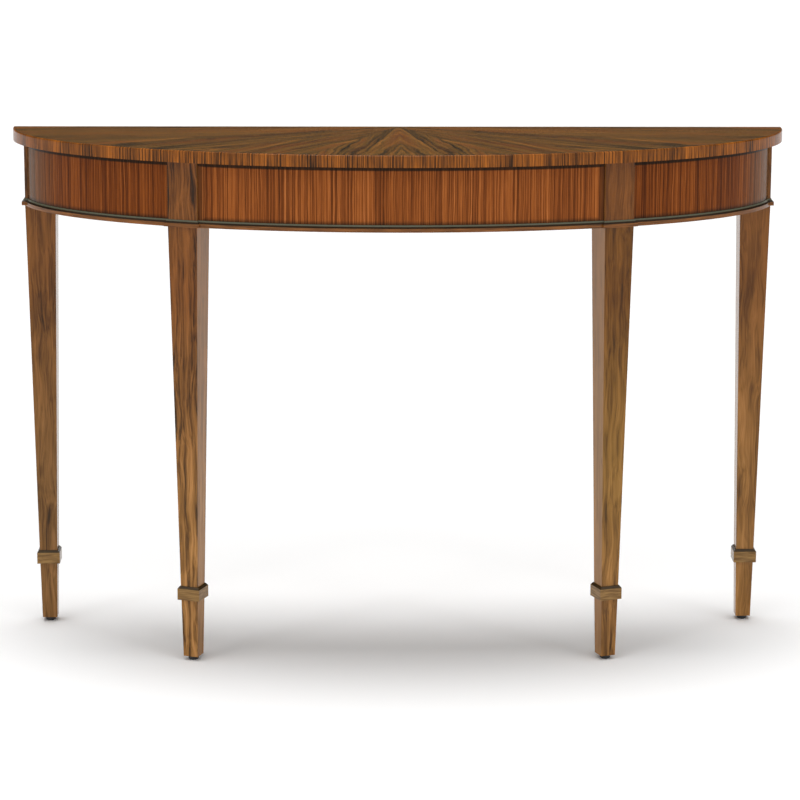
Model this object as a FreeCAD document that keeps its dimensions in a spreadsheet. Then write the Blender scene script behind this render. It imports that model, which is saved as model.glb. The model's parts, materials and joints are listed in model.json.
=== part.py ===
import FreeCAD, Part
import Sketcher
import math
import os

# Demilune console table: a half-oval top with a sunburst of veneer leaves, a curved apron in
# three bays, four square tapered legs and a bead moulding that breaks out round each leg.
# The origin is on the floor under the middle of the top. +X is right, -Y is the curved front.

doc = FreeCAD.newDocument("demilune_table")

# Driving dimensions in millimetres: name, value, meaning.
SIZES = [
    ("top_width", "1270", "straight back edge of the top"),
    ("top_depth", "356", "back edge to the middle of the curved front"),
    ("top_height", "838", "floor to the top surface"),
    ("top_thickness", "19", "top with both veneers"),
    ("veneer_thickness", "0.8", "every face veneer"),
    ("edge_band_thickness", "2.5", "crossband round the curved edge"),
    ("back_band_thickness", "1", "band along the straight edge"),
    ("arris_radius", "2", "eased upper arris of the curved edge"),
    ("side_overhang", "21.5", "end of the top to the outer face of a back leg"),
    ("front_overhang", "18", "front of the top to the face of a front leg"),
    ("back_overhang", "3", "back edge of the top to the back of the legs"),
    ("apron_height", "104", "underside of the top to the bottom of the apron"),
    ("apron_thickness", "16", "bent core of the apron"),
    ("apron_setback", "5", "legs stand proud of the apron by this"),
    ("post_width", "50", "square post of a leg"),
    ("front_leg_span", "688", "between the middles of the front legs' faces"),
    ("ankle_width", "29.6", "leg at the top of its collar"),
    ("foot_width", "24.8", "leg at its foot"),
    ("collar_bottom", "103", "floor to the collar"),
    ("collar_height", "22.5", "collar with its bevel"),
    ("collar_projection", "4.2", "collar beyond the ankle"),
    ("collar_bevel_height", "4", "sloped top of the collar"),
    ("collar_lip", "1.2", "collar's top edge beyond the ankle"),
    ("bead_height", "11", "bead moulding, fillet and cove"),
    ("bead_projection", "5", "bead beyond the face that carries it"),
    ("bead_fillet_height", "6", "upright lower part of the bead"),
    ("bead_quirk", "0.8", "step between fillet and cove"),
    ("bead_lip", "1.2", "upper edge of the cove"),
    ("back_rail_thickness", "18", "straight rail at the back"),
    ("back_rail_height", "85", "straight rail at the back"),
    ("brace_width", "40", "cross brace under the middle of the top"),
    ("block_side", "26", "triangular glue block along each wall"),
    ("block_height", "38", "glue blocks and cross brace"),
    ("tenon_thickness", "8", "loose tenons between rails and legs"),
    ("tenon_height", "60", "loose tenons between rails and legs"),
    ("tenon_length", "40", "loose tenons between rails and legs"),
    ("tenon_gap", "0.1", "play round a tenon's sides"),
    ("tenon_end_gap", "1", "glue room at each end of a tenon"),
    ("screw_diameter", "4.2", "wood screws from the brace into the top"),
    ("screw_length", "50", "wood screws from the brace into the top"),
    ("screw_head_diameter", "8.2", "countersunk head"),
    ("screw_head_height", "2.4", "countersunk head"),
    ("screw_gap", "0.1", "play all round a screw"),
    ("glide_diameter", "17", "push-in glide"),
    ("glide_height", "7", "push-in glide without its stem"),
    ("glide_rim", "2", "eased lower rim of a glide"),
    ("stem_diameter", "6", "stem of a glide"),
    ("stem_length", "16", "stem of a glide within the leg"),
    ("stem_gap", "0.1", "play all round a stem"),
    ("overrun", "20", "how far every cutting shape passes its target"),
    ("cove_level_share", "0.4", "height of the cove's hollow within the cove"),
    ("cove_run_share", "0.35", "run of the cove's hollow within the cove"),
]

# Sizes that follow from the ones above.
DERIVED = [
    ("half_width", "=top_width / 2"),
    ("back_plane", "=top_depth / 2"),
    ("underside", "=top_height - top_thickness"),
    ("core_bottom", "=underside + veneer_thickness"),
    ("leaf_level", "=top_height - veneer_thickness"),
    ("core_height", "=leaf_level - core_bottom"),
    ("leaf_half_width", "=half_width - edge_band_thickness"),
    ("leaf_half_depth", "=top_depth - edge_band_thickness"),
    ("leaf_back", "=back_plane - back_band_thickness"),
    ("apron_bottom", "=underside - apron_height"),
    ("leg_half_width", "=half_width - side_overhang"),
    ("leg_half_depth", "=top_depth - front_overhang"),
    ("apron_half_depth", "=leg_half_depth - apron_setback"),
    ("apron_end_depth", "=back_overhang + post_width"),
    ("apron_end_share", "=sqrt(1 - (apron_end_depth / apron_half_depth) ^ 2)"),
    ("apron_half_width", "=(leg_half_width - apron_setback) / apron_end_share"),
    ("core_half_width", "=apron_half_width - veneer_thickness"),
    ("core_half_depth", "=apron_half_depth - veneer_thickness"),
    ("inner_half_width", "=core_half_width - apron_thickness"),
    ("inner_half_depth", "=core_half_depth - apron_thickness"),
    ("middle_half_width", "=core_half_width - apron_thickness / 2"),
    ("middle_half_depth", "=core_half_depth - apron_thickness / 2"),
    ("post_back", "=back_plane - back_overhang"),
    ("post_front", "=post_back - post_width"),
    ("rail_front", "=post_back - back_rail_thickness"),
    ("block_bottom", "=underside - block_height"),
    ("back_rail_bottom", "=underside - back_rail_height"),
    ("collar_top", "=collar_bottom + collar_height"),
    ("collar_width", "=ankle_width + 2 * collar_projection"),
    ("collar_lip_width", "=ankle_width + 2 * collar_lip"),
    ("bead_width", "=post_width + 2 * bead_projection"),
    ("cove_foot", "=bead_projection - bead_quirk"),
    ("cove_hollow", "=bead_lip + (cove_foot - bead_lip) * cove_run_share"),
    ("cove_level", "=apron_bottom + bead_fillet_height"),
    ("hollow_level", "=cove_level + (bead_height - bead_fillet_height) * cove_level_share"),
    ("bead_top", "=apron_bottom + bead_height"),
]

# The sunburst has one leaf for each equal angle of the half turn.
LEAF_COUNT = 8
# The brace's screws stand at these shares of its free length.
BRACE_SCREW_SHARES = (0.2, 0.8)

SIDES = {"left": -1, "right": 1}
UP = FreeCAD.Vector(0, 0, 1)

sheet = doc.addObject("Spreadsheet::Sheet", "Sheet")
for row, (alias, value, meaning) in enumerate(SIZES, start=1):
    sheet.set("A%d" % row, meaning)
    sheet.set("B%d" % row, value)
    sheet.setAlias("B%d" % row, alias)
for row, (alias, formula) in enumerate(DERIVED, start=len(SIZES) + 1):
    sheet.set("B%d" % row, formula)
    sheet.setAlias("B%d" % row, alias)
doc.recompute()

nodes = {}


def size(alias):
    """The present value of a named size."""
    return float(sheet.get(alias))


def bind(thing, **formulas):
    """Tie properties of an object to the sheet's named sizes."""
    for name, formula in formulas.items():
        words = formula.split(" ")
        tied = ["Sheet." + word if word[0].isalpha() else word for word in words]
        thing.setExpression(name, " ".join(tied))
    return thing


def place(thing, placement):
    """Put an object somewhere that follows from the named sizes."""
    thing.Placement = placement
    return thing


def at(x, y, z=0, turn=0):
    """A placement at a point, turned about the upright axis by an angle in degrees."""
    return FreeCAD.Placement(FreeCAD.Vector(x, y, z), FreeCAD.Rotation(UP, turn))


def keep(name, thing, solids=1):
    """List an object as a sub-part made of so many separate solids."""
    thing.Label = name
    nodes[name] = (thing, solids)
    return thing


def cut(name, base, *tools):
    """What is left of a piece once the tools are taken out of it."""
    tool = tools[0]
    if len(tools) > 1:
        tool = doc.addObject("Part::Compound", name + "_tools")
        tool.Links = list(tools)
    result = doc.addObject("Part::Cut", name)
    result.Base = base
    result.Tool = tool
    return result


def common(name, *shapes):
    """What all the shapes share."""
    result = doc.addObject("Part::MultiCommon", name)
    result.Shapes = list(shapes)
    return result


def fuse(name, *shapes):
    """One solid of several that meet."""
    result = doc.addObject("Part::MultiFuse", name)
    result.Shapes = list(shapes)
    return result


def group(name, shapes):
    """Several separate solids kept together."""
    result = doc.addObject("Part::Compound", name)
    result.Links = list(shapes)
    return result


def oval(name, half_width, half_depth, level):
    """A full ellipse about the middle of the back edge."""
    curve = doc.addObject("Part::Ellipse", name)
    bind(curve, MajorRadius=half_width, MinorRadius=half_depth)
    curve.setExpression("Placement.Base.y", "Sheet.back_plane")
    bind(curve, **{"Placement.Base.z": level})
    return curve


def oval_slab(name, half_width, half_depth, level, height):
    """An elliptic cylinder between two levels."""
    slab = doc.addObject("Part::Extrusion", name)
    slab.Base = oval(name + "_outline", half_width, half_depth, level)
    slab.DirMode = "Custom"
    slab.Dir = UP
    slab.Solid = True
    return bind(slab, LengthFwd=height)


def slice_box(name, left, right, front, back, level, height):
    """An upright box between planes of the part's own frame, each side given by a formula."""
    box = doc.addObject("Part::Box", name)
    bind(box, Length="( %s ) - ( %s )" % (right, left), Width="( %s ) - ( %s )" % (back, front))
    bind(box, Height=height)
    bind(box, **{"Placement.Base.x": left, "Placement.Base.y": front, "Placement.Base.z": level})
    return box


def front_half(name, back, level, height):
    """All of the table's width in front of an upright plane."""
    left, right = "0 - half_width - overrun", "half_width + overrun"
    return slice_box(name, left, right, "0 - back_plane - overrun", back, level, height)


def square_sketch(body, name, side, level):
    """A square about the body's upright axis at some level."""
    sketch = body.newObject("Sketcher::SketchObject", name)
    plane = [item for item in body.Origin.OriginFeatures if item.Role == "XY_Plane"][0]
    sketch.AttachmentSupport = [(plane, "")]
    sketch.MapMode = "FlatFace"
    corners = [FreeCAD.Vector(x, y, 0) for x, y in ((-1, -1), (1, -1), (1, 1), (-1, 1))]
    for index, corner in enumerate(corners):
        sketch.addGeometry(Part.LineSegment(corner, corners[(index + 1) % len(corners)]), False)
    for index in range(len(corners)):
        following = (index + 1) % len(corners)
        sketch.addConstraint(Sketcher.Constraint("Coincident", index, 2, following, 1))
        lie = "Vertical" if index % 2 else "Horizontal"
        sketch.addConstraint(Sketcher.Constraint(lie, index))
    sketch.addConstraint(Sketcher.Constraint("Symmetric", 0, 1, 1, 2, -1, 1))
    sketch.addConstraint(Sketcher.Constraint("Equal", 0, 1))
    last = sketch.addConstraint(Sketcher.Constraint("Distance", 0, size("post_width")))
    sketch.renameConstraint(last, "side")
    bind(sketch, **{"Constraints.side": side, "AttachmentOffset.Base.z": level})
    return sketch


def tapered_body(name, pad_side, pad_level, pad_height, stages):
    """A square prism with flat-sided tapers through further squares, listed from the lowest."""
    body = doc.addObject("PartDesign::Body", name)
    pad = body.newObject("PartDesign::Pad", name + "_prism")
    pad.Profile = square_sketch(body, name + "_prism_square", pad_side, pad_level)
    bind(pad, Length=pad_height)
    for index, (side, level) in enumerate(stages[:-1]):
        upper_side, upper_level = stages[index + 1]
        taper = body.newObject("PartDesign::AdditiveWedge", "%s_taper_%d" % (name, index))
        taper.Placement.Rotation = FreeCAD.Rotation(FreeCAD.Vector(1, 0, 0), 90)
        bind(taper, Ymin="0", Ymax="( %s ) - ( %s )" % (upper_level, level))
        for axis in ("X", "Z"):
            for edge, sign in (("min", "0 - "), ("max", "0 + ")):
                bind(taper, **{axis + edge: sign + "( %s ) / 2" % side})
                bind(taper, **{axis + "2" + edge: sign + "( %s ) / 2" % upper_side})
        bind(taper, **{"Placement.Base.z": level})
    return body


def rod(name, placement, diameter, length):
    """A round rod or hole along its own upright axis."""
    cylinder = doc.addObject("Part::Cylinder", name)
    bind(cylinder, Radius="( %s ) / 2" % diameter, Height=length)
    return place(cylinder, placement)


def oval_hit(start, heading, half_width, half_depth):
    """Where a level line from inside meets an ellipse about the middle of the back edge."""
    a, b = size(half_width), size(half_depth)
    x, y = start.x, start.y - size("back_plane")
    square = (heading.x / a) ** 2 + (heading.y / b) ** 2
    mixed = x * heading.x / a ** 2 + y * heading.y / b ** 2
    rest = (x / a) ** 2 + (y / b) ** 2 - 1
    reach = (-mixed + math.sqrt(mixed ** 2 - square * rest)) / square
    return start + heading * reach


def oval_tangent(point, half_width, half_depth):
    """Unit direction along an ellipse, to the right as seen from the front."""
    a, b = size(half_width), size(half_depth)
    along = FreeCAD.Vector(-(point.y - size("back_plane")) / b ** 2, point.x / a ** 2, 0)
    return along.normalize()


def leg_places():
    """Placement of each leg's upright axis on the floor, with its face turned outwards."""
    found = {}
    a, b = size("leg_half_width"), size("leg_half_depth")
    half_post = size("post_width") / 2
    for side, sign in SIDES.items():
        face = FreeCAD.Vector(sign * size("front_leg_span") / 2, 0, 0)
        face.y = size("back_plane") - b * math.sqrt(1 - (face.x / a) ** 2)
        outward = FreeCAD.Vector(face.x / a ** 2, (face.y - size("back_plane")) / b ** 2, 0).normalize()
        axis = face - outward * half_post
        turn = math.degrees(math.atan2(outward.x, -outward.y))
        found["front_" + side] = at(axis.x, axis.y, 0, turn)
        found["back_" + side] = at(sign * (a - half_post), size("post_front") + half_post)
    return found


LEGS = leg_places()


def local(leg, x, y, z=0):
    """A point given from a leg's own axis."""
    return LEGS[leg].multVec(FreeCAD.Vector(x, y, z))


def post_prism(leg, name):
    """The room that a leg's square post takes."""
    box = doc.addObject("Part::Box", name)
    bind(box, Length="post_width", Width="post_width", Height="apron_height")
    half = size("post_width") / 2
    corner = FreeCAD.Placement(FreeCAD.Vector(-half, -half, size("apron_bottom")), FreeCAD.Rotation())
    return place(box, LEGS[leg].multiply(corner))


def quarter(leg, name, turn):
    """A quarter of the space round a leg's axis, for mitred corners."""
    box = doc.addObject("Part::Box", name)
    bind(box, Length="post_width + overrun", Width="post_width + overrun", Height="top_height")
    return place(box, LEGS[leg].multiply(at(0, 0, 0, turn)))


# Mitred quarters of a square ring, by the direction that each faces in a leg's own frame.
QUARTERS = {"front": -135, "right": -45, "rear": 45, "left": 135}

# Bays of the apron: the legs at its left and right ends.
BAYS = {
    "left": ("back_left", "front_left"),
    "centre": ("front_left", "front_right"),
    "right": ("front_right", "back_right"),
}


def bay_end(bay, end):
    """Middle of a bay's end against its leg, and the direction along the apron into the leg."""
    leg = BAYS[bay][end]
    half = size("post_width") / 2
    inward = 1 if end == 1 else -1
    if leg.startswith("back"):
        plane = FreeCAD.Vector(0, size("post_front"), 0)
        point = oval_hit(plane, FreeCAD.Vector(inward, 0, 0), "middle_half_width", "middle_half_depth")
    else:
        side_middle = local(leg, -inward * half, 0)
        outward = LEGS[leg].Rotation.multVec(FreeCAD.Vector(0, -1, 0))
        point = oval_hit(side_middle, outward, "middle_half_width", "middle_half_depth")
    return leg, point, oval_tangent(point, "middle_half_width", "middle_half_depth") * inward


def joint_bar(name, middle, heading, length, thickness, height):
    """A bar that lies across a joint: its middle, its direction and three formulas for its sides."""
    bar = doc.addObject("Part::Box", name)
    bind(bar, Length=length, Width=thickness, Height=height)
    doc.recompute()
    corner = FreeCAD.Vector(-bar.Length.Value / 2, -bar.Width.Value / 2, -bar.Height.Value / 2)
    turn = FreeCAD.Rotation(FreeCAD.Vector(1, 0, 0), heading)
    return place(bar, FreeCAD.Placement(middle + turn.multVec(corner), turn))


def tenon_joint(name, point, heading, level):
    """A loose tenon across one joint at half the rail's height, and its mortise in both pieces."""
    middle = FreeCAD.Vector(point.x, point.y, level)
    tenon = joint_bar("tenon_" + name, middle, heading, "tenon_length", "tenon_thickness", "tenon_height")
    mortise = joint_bar(
        "mortise_" + name, middle, heading, "tenon_length + 2 * tenon_end_gap",
        "tenon_thickness + 2 * tenon_gap", "tenon_height + 2 * tenon_gap")
    return tenon, mortise


def build_tenons():
    """All rail tenons in one group, with their mortises listed by the piece that they enter."""
    tenons = []
    mortises = {}
    for bay in BAYS:
        for end in (0, 1):
            leg, point, heading = bay_end(bay, end)
            level = size("apron_bottom") + size("apron_height") / 2
            tenon, mortise = tenon_joint("%s_%d" % (bay, end), point, heading, level)
            tenons.append(tenon)
            mortises.setdefault(leg, []).append(mortise)
            mortises.setdefault(bay, []).append(mortise)
    for side, sign in SIDES.items():
        end = sign * (size("leg_half_width") - size("post_width"))
        point = FreeCAD.Vector(end, size("post_back") - size("back_rail_thickness") / 2, 0)
        level = size("back_rail_bottom") + size("back_rail_height") / 2
        tenon, mortise = tenon_joint("rail_" + side, point, FreeCAD.Vector(sign, 0, 0), level)
        tenons.append(tenon)
        mortises["back_" + side].append(mortise)
        mortises.setdefault("back_rail", []).append(mortise)
    keep("rail_tenons", group("rail_tenons", tenons), len(tenons))
    return mortises


def build_legs(mortises):
    """Four legs: square post, tapered shaft, steeper foot, with mortises and a hole for the glide."""
    blanks = {}
    for leg, spot in LEGS.items():
        stages = [("foot_width", "glide_height"), ("ankle_width", "collar_top")]
        stages.append(("post_width", "apron_bottom"))
        blank = tapered_body("leg_blank_" + leg, "post_width", "apron_bottom", "apron_height", stages)
        blanks[leg] = place(blank, spot)
        hole_depth = "glide_height + stem_length + stem_gap"
        stem_hole = rod("stem_hole_" + leg, spot, "stem_diameter + 2 * stem_gap", hole_depth)
        keep("leg_" + leg, cut("leg_" + leg, blank, stem_hole, *mortises[leg]))
    return blanks


def build_collars(blanks):
    """A collar round each ankle: four strips with mitred corners and a bevelled top."""
    for leg, blank in blanks.items():
        flat = "collar_top - collar_bevel_height"
        stages = [("collar_width", flat), ("collar_lip_width", "collar_top")]
        solid = "collar_height - collar_bevel_height"
        block = tapered_body("collar_block_" + leg, "collar_width", "collar_bottom", solid, stages)
        ring = cut("collar_ring_" + leg, place(block, LEGS[leg]), blank)
        strips = []
        for facing, turn in QUARTERS.items():
            name = "collar_%s_%s" % (leg, facing)
            strips.append(common(name, ring, quarter(leg, name + "_quarter", turn)))
        keep("collar_" + leg, group("collar_set_" + leg, strips), len(strips))


def build_glides():
    """A round glide under each foot, with a stem that is pushed into the leg."""
    for leg, spot in LEGS.items():
        rim = doc.addObject("Part::Cone", "glide_rim_" + leg)
        bind(rim, Radius1="glide_diameter / 2 - glide_rim", Radius2="glide_diameter / 2", Height="glide_rim")
        place(rim, spot)
        disc_spot = spot.multiply(at(0, 0, size("glide_rim")))
        disc = rod("glide_disc_" + leg, disc_spot, "glide_diameter", "glide_height - glide_rim")
        stem_spot = spot.multiply(at(0, 0, size("glide_height")))
        stem = rod("glide_stem_" + leg, stem_spot, "stem_diameter", "stem_length")
        keep("glide_" + leg, fuse("glide_" + leg, rim, disc, stem))


def bay_box(bay, name):
    """The part of the table's plan that one bay of the apron takes."""
    far_left, far_right = "0 - half_width - overrun", "half_width + overrun"
    left_split, right_split = "0 - front_leg_span / 2", "front_leg_span / 2"
    spans = {
        "left": (far_left, left_split),
        "centre": (left_split, right_split),
        "right": (right_split, far_right),
    }
    left, right = spans[bay]
    front = "0 - back_plane - overrun"
    return slice_box(name, left, right, front, "post_front", "apron_bottom", "apron_height")


def build_apron(mortises):
    """Three bent bays, each a core with a face veneer, butted against the legs' posts."""
    shell = {}
    for layer in ("apron", "core", "inner"):
        wide, deep = layer + "_half_width", layer + "_half_depth"
        shell[layer] = oval_slab("oval_" + layer, wide, deep, "apron_bottom", "apron_height")
    rings = {"apron_veneer": cut("veneer_ring", shell["apron"], shell["core"])}
    rings["apron_core"] = cut("core_ring", shell["core"], shell["inner"])
    for bay, ends in BAYS.items():
        for layer, ring in rings.items():
            name = "%s_%s" % (layer, bay)
            span = common(name + "_span", ring, bay_box(bay, name + "_room"))
            holes = [post_prism(leg, "%s_%s" % (name, leg)) for leg in ends]
            if layer == "apron_core":
                holes += mortises[bay]
            keep(name, cut(name, span, *holes))
    return shell["apron"], rings["apron_core"]


def build_beads(apron_shell):
    """Bead moulding along each bay, coped to the mitred pieces that break out round the legs."""
    fillet = oval_slab(
        "bead_fillet", "apron_half_width + bead_projection", "apron_half_depth + bead_projection",
        "apron_bottom", "bead_fillet_height")
    cove = doc.addObject("Part::Loft", "bead_cove")
    profile = [("cove_foot", "cove_level"), ("cove_hollow", "hollow_level"), ("bead_lip", "bead_top")]
    sections = []
    for run, level in profile:
        wide, deep = "apron_half_width + " + run, "apron_half_depth + " + run
        sections.append(oval("bead_" + run, wide, deep, level))
    cove.Sections = sections
    cove.Solid = True
    cove.Ruled = True
    run_ring = cut("bead_ring", fuse("bead_run", fillet, cove), apron_shell)
    blocks = {}
    for leg, spot in LEGS.items():
        stages = [("post_width + 2 * " + run, level) for run, level in profile]
        block = tapered_body("bead_block_" + leg, "bead_width", "apron_bottom", "bead_fillet_height", stages)
        blocks[leg] = place(block, spot)
        ring = cut("bead_wrap_" + leg, block, post_prism(leg, "bead_post_" + leg))
        outer = leg.split("_")[1]
        inner = "left" if outer == "right" else "right"
        pieces = {"face": "front", "outer_return": outer, "inner_return": inner}
        if leg.startswith("back"):
            pieces = {"face": "front", "side": outer}
        for piece, facing in pieces.items():
            name = "bead_%s_%s" % (leg, piece)
            corner = quarter(leg, name + "_quarter", QUARTERS[facing])
            if piece == "side":
                flush = front_half(name + "_flush", "post_back", "apron_bottom", "apron_height")
                keep(name, common(name, ring, corner, flush))
            else:
                keep(name, cut(name, common(name + "_run", ring, corner), apron_shell))
    for bay, ends in BAYS.items():
        name = "bead_bay_" + bay
        span = common(name + "_span", run_ring, bay_box(bay, name + "_room"))
        keep(name, cut(name, span, *[blocks[leg] for leg in ends]))


def build_blocks(core_ring):
    """Glue blocks in the corners beside the posts, scribed to the bent apron."""
    half = size("post_width") / 2
    depth = size("apron_setback") + size("veneer_thickness") + size("apron_thickness") - half
    rail = size("rail_front")
    inner_face = size("leg_half_width") - size("post_width")
    level = size("block_bottom")
    corners = {}
    for side, sign in SIDES.items():
        leg = "front_" + side
        corners["glue_block_%s_leg_left" % leg] = LEGS[leg].multiply(at(-half, depth, level, 90))
        corners["glue_block_%s_leg_right" % leg] = LEGS[leg].multiply(at(half, depth, level, 0))
        turn = -90 if sign < 0 else 180
        corners["glue_block_back_%s_leg" % side] = at(sign * inner_face, rail, level, turn)
    for name, spot in corners.items():
        wedge = doc.addObject("Part::Wedge", name + "_wedge")
        bind(wedge, Xmin="0", Xmax="block_side", Ymin="0", Ymax="block_side", Zmin="0", Zmax="block_height")
        bind(wedge, X2min="0", X2max="0", Z2min="0", Z2max="block_height")
        place(wedge, spot)
        keep(name, wedge if "back" in name else cut(name, wedge, core_ring))


def build_brace(core_ring):
    """Cross brace from the apron to the back rail, with the screws that run up into the top."""
    board = slice_box(
        "brace_board", "0 - brace_width / 2", "brace_width / 2", "back_plane - middle_half_depth",
        "rail_front", "block_bottom", "block_height")
    scribed = cut("brace_scribed", board, core_ring)
    front = size("back_plane") - size("inner_half_depth")
    screws = []
    holes = []
    for index, share in enumerate(BRACE_SCREW_SHARES):
        spot = at(0, front + share * (size("rail_front") - front), size("block_bottom"))
        screws.append(screw_form("screw_%d" % index, spot, "0"))
        holes.append(screw_form("screw_hole_%d" % index, spot, "screw_gap"))
    keep("cross_brace", cut("cross_brace", scribed, *holes))
    keep("top_screws", group("top_screws", screws), len(screws))
    return holes


def screw_form(name, spot, gap):
    """A countersunk wood screw pointing up, or with a gap, the hole that it runs in."""
    head = doc.addObject("Part::Cone", name + "_head")
    bind(head, Radius1="screw_head_diameter / 2 + " + gap, Radius2="screw_diameter / 2 + " + gap)
    bind(head, Height="screw_head_height")
    shank = rod(name + "_shank", spot, "screw_diameter + 2 * " + gap, "screw_length + " + gap)
    return fuse(name, place(head, spot), shank)


def build_back_rail(mortises):
    """Straight rail between the back legs."""
    end = "leg_half_width - post_width"
    board = slice_box(
        "rail_board", "post_width - leg_half_width", end, "rail_front", "post_back",
        "back_rail_bottom", "back_rail_height")
    keep("back_rail", cut("back_rail", board, *mortises["back_rail"]))


def build_top(screw_holes):
    """Core, balancing veneer, edge bands and the sunburst of veneer leaves."""
    wide, deep = "leaf_half_width", "leaf_half_depth"
    for name, level, height in (("top_core", "core_bottom", "core_height"),
                                ("top_balancing_veneer", "underside", "veneer_thickness")):
        slab = oval_slab(name + "_oval", wide, deep, level, height)
        sheet_half = common(name + "_half", slab, front_half(name + "_front", "leaf_back", level, height))
        keep(name, cut(name, sheet_half, *screw_holes))
    full = oval_slab("edge_oval", "half_width", "top_depth", "underside", "top_thickness")
    edge_room = front_half("edge_front", "back_plane", "underside", "top_thickness")
    edge_half = common("edge_half", full, edge_room)
    inside = oval_slab("edge_inside", wide, deep, "underside", "top_thickness")
    band = cut("edge_ring", edge_half, inside)
    doc.recompute()
    eased = doc.addObject("Part::Fillet", "top_edge_band")
    eased.Base = band
    radius = size("arris_radius")
    eased.Edges = [(index, radius, radius) for index in upper_outer_edges(band)]
    keep("top_edge_band", eased)
    strip = slice_box(
        "back_strip", "0 - half_width", "half_width", "leaf_back", "back_plane", "underside", "top_thickness")
    keep("top_back_band", common("top_back_band", inside, strip))
    leaf_sheet = oval_slab("leaf_oval", wide, deep, "leaf_level", "veneer_thickness")
    step = 180.0 / LEAF_COUNT
    for number in range(LEAF_COUNT):
        name = "top_leaf_%d" % (number + 1)
        start = number * step - 180.0
        after = half_plane(name + "_after", start, 0)
        before = half_plane(name + "_before", start + step, -1)
        keep(name, common(name, leaf_sheet, after, before))


def upper_outer_edges(band):
    """Numbers of the band's outer edges at the top surface."""
    limit = size("half_width") - size("edge_band_thickness") / 2
    found = []
    for index, edge in enumerate(band.Shape.Edges, start=1):
        level = edge.CenterOfMass.z >= size("top_height") - size("veneer_thickness") / 2
        curved = hasattr(edge.Curve, "MajorRadius")
        if level and curved and edge.Curve.MajorRadius > limit:
            found.append(index)
    return found


def half_plane(name, turn, side):
    """All that lies on one side of a ray from the middle of the back edge of the leaves."""
    box = doc.addObject("Part::Box", name)
    bind(box, Length="2 * half_width + 2 * overrun", Width="half_width + overrun")
    bind(box, Height="top_height + overrun")
    reach = size("half_width") + size("overrun")
    spot = at(0, size("leaf_back"), 0, turn).multiply(at(-reach, side * reach))
    return place(box, spot)


def check_and_write():
    """Stop on any failed object, then write one file for each sub-part."""
    doc.recompute()
    for thing in doc.Objects:
        if "Invalid" in thing.State or "Error" in thing.State:
            raise RuntimeError("failed object: " + thing.Name)
    for name, (thing, solids) in nodes.items():
        shape = thing.Shape
        if shape.isNull() or not shape.isValid():
            raise RuntimeError("bad shape: " + name)
        if len(shape.Solids) != solids:
            raise RuntimeError("%s has %d solids, not %d" % (name, len(shape.Solids), solids))
    os.makedirs("parts", exist_ok=True)
    for name, (thing, solids) in nodes.items():
        thing.Shape.exportStep("parts/%s.step" % name)


joint_mortises = build_tenons()
leg_blanks = build_legs(joint_mortises)
build_collars(leg_blanks)
build_glides()
apron_outline, apron_core_ring = build_apron(joint_mortises)
build_beads(apron_outline)
build_back_rail(joint_mortises)
build_blocks(apron_core_ring)
build_top(build_brace(apron_core_ring))
check_and_write()
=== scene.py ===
import json
import math
import bpy
from mathutils import Matrix, Vector

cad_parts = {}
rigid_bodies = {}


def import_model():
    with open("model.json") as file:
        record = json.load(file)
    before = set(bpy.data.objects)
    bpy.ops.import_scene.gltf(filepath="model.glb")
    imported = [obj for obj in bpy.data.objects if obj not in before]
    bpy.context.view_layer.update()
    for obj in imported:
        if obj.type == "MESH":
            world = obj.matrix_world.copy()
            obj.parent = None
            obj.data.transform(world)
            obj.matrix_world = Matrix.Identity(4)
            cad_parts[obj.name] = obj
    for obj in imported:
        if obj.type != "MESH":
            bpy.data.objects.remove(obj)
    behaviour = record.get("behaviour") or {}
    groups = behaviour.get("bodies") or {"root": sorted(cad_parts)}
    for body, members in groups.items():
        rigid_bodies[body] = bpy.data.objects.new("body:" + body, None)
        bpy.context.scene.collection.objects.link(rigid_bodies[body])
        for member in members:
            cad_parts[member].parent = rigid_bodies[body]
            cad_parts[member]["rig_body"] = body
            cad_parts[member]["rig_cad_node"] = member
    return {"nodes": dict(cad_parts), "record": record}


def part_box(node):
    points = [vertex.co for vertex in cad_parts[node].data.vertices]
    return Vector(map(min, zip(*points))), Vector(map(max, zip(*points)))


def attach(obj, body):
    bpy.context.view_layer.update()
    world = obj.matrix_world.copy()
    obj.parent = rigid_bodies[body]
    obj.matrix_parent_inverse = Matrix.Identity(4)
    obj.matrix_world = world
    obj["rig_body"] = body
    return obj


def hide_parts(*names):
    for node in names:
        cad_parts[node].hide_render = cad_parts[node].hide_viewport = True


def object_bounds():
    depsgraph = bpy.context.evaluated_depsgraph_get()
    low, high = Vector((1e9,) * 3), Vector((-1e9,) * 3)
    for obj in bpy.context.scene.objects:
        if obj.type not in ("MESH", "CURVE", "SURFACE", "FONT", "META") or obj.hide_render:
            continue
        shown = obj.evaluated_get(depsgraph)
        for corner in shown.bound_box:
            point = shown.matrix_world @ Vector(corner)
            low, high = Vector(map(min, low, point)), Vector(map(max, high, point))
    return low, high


# Looks of the half-oval console table: eased legs, veneers with their grain, the studio and the
# camera. Metres in the frame of the CAD part: +X right, -Y the curved front, +Z up.

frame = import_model()
cad_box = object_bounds()
nodes = frame["nodes"]
bpy.ops.object.select_all(action="DESELECT")

MM = 0.001

# Noise patterns swing about this value.
NOISE_MIDDLE = 0.5

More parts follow.
